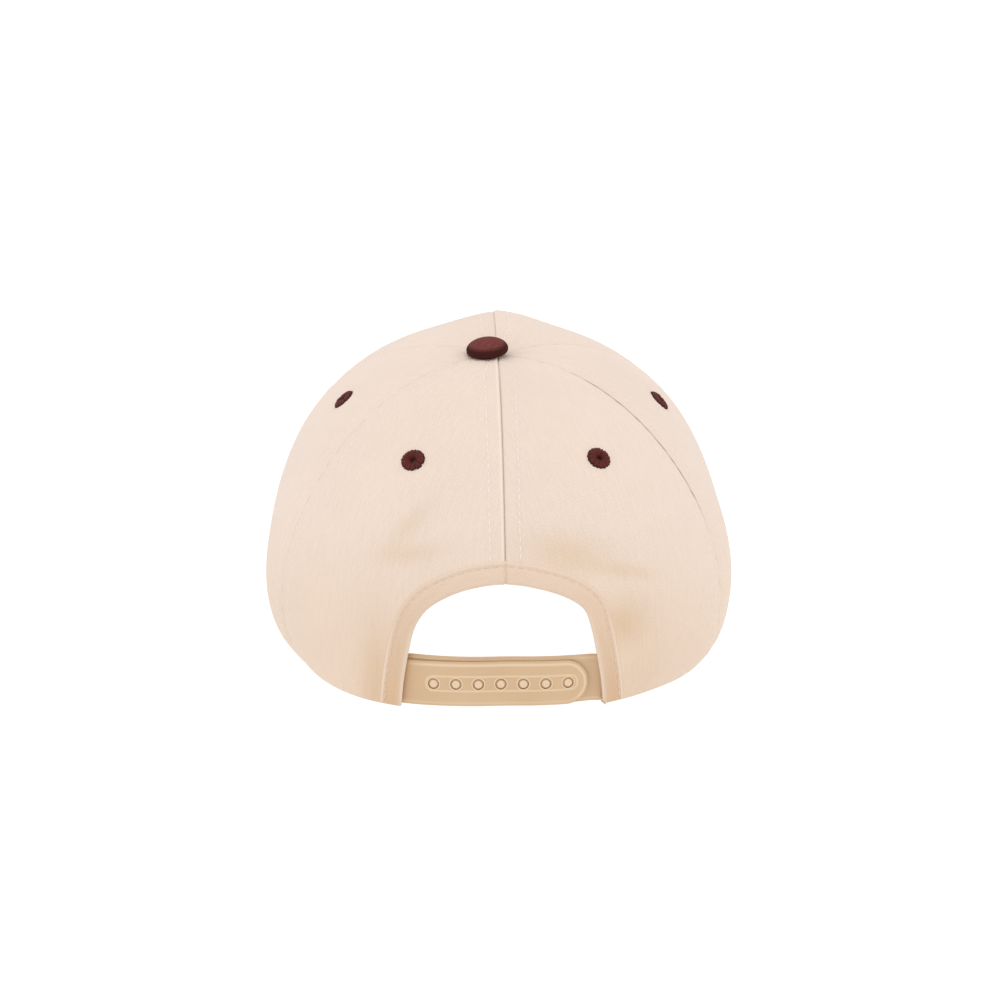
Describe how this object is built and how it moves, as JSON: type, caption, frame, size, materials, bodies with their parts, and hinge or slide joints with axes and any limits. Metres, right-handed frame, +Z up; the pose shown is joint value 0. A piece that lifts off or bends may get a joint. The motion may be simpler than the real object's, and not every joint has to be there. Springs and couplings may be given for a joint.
{
  "type": "snapback cap",
  "caption": "Cloth baseball cap with a panelled crown, covered button, thread eyelets, stiff curved peak and a plastic snap strap across an arched back opening.",
  "frame": {"origin": "centre of the cap's footprint, on the surface that it rests on", "axes": "+Y towards the peak, +X towards the wearer's right, +Z up"},
  "size_m": [0.1776, 0.2638, 0.1156],
  "materials": {
    "twill": "matte",
    "maroon_cloth": "matte",
    "maroon_thread": "satin",
    "band_cloth": "matte",
    "strap_plastic": "satin"
  },
  "bodies": {
    "root": {"front_panel_left": "twill", "front_panel_right": "twill", "side_panel_left": "twill", "side_panel_right": "twill", "back_panel_left": "twill", "back_panel_right": "twill", "peak": "maroon_cloth", "top_button": "maroon_cloth", "eyelet_front_left": "maroon_thread", "eyelet_front_right": "maroon_thread", "eyelet_side_left": "maroon_thread", "eyelet_side_right": "maroon_thread", "eyelet_back_left": "maroon_thread", "eyelet_back_right": "maroon_thread", "sweatband": "band_cloth", "hole_strap": "strap_plastic", "stud_strap": "strap_plastic"}
  },
  "joints": []
}
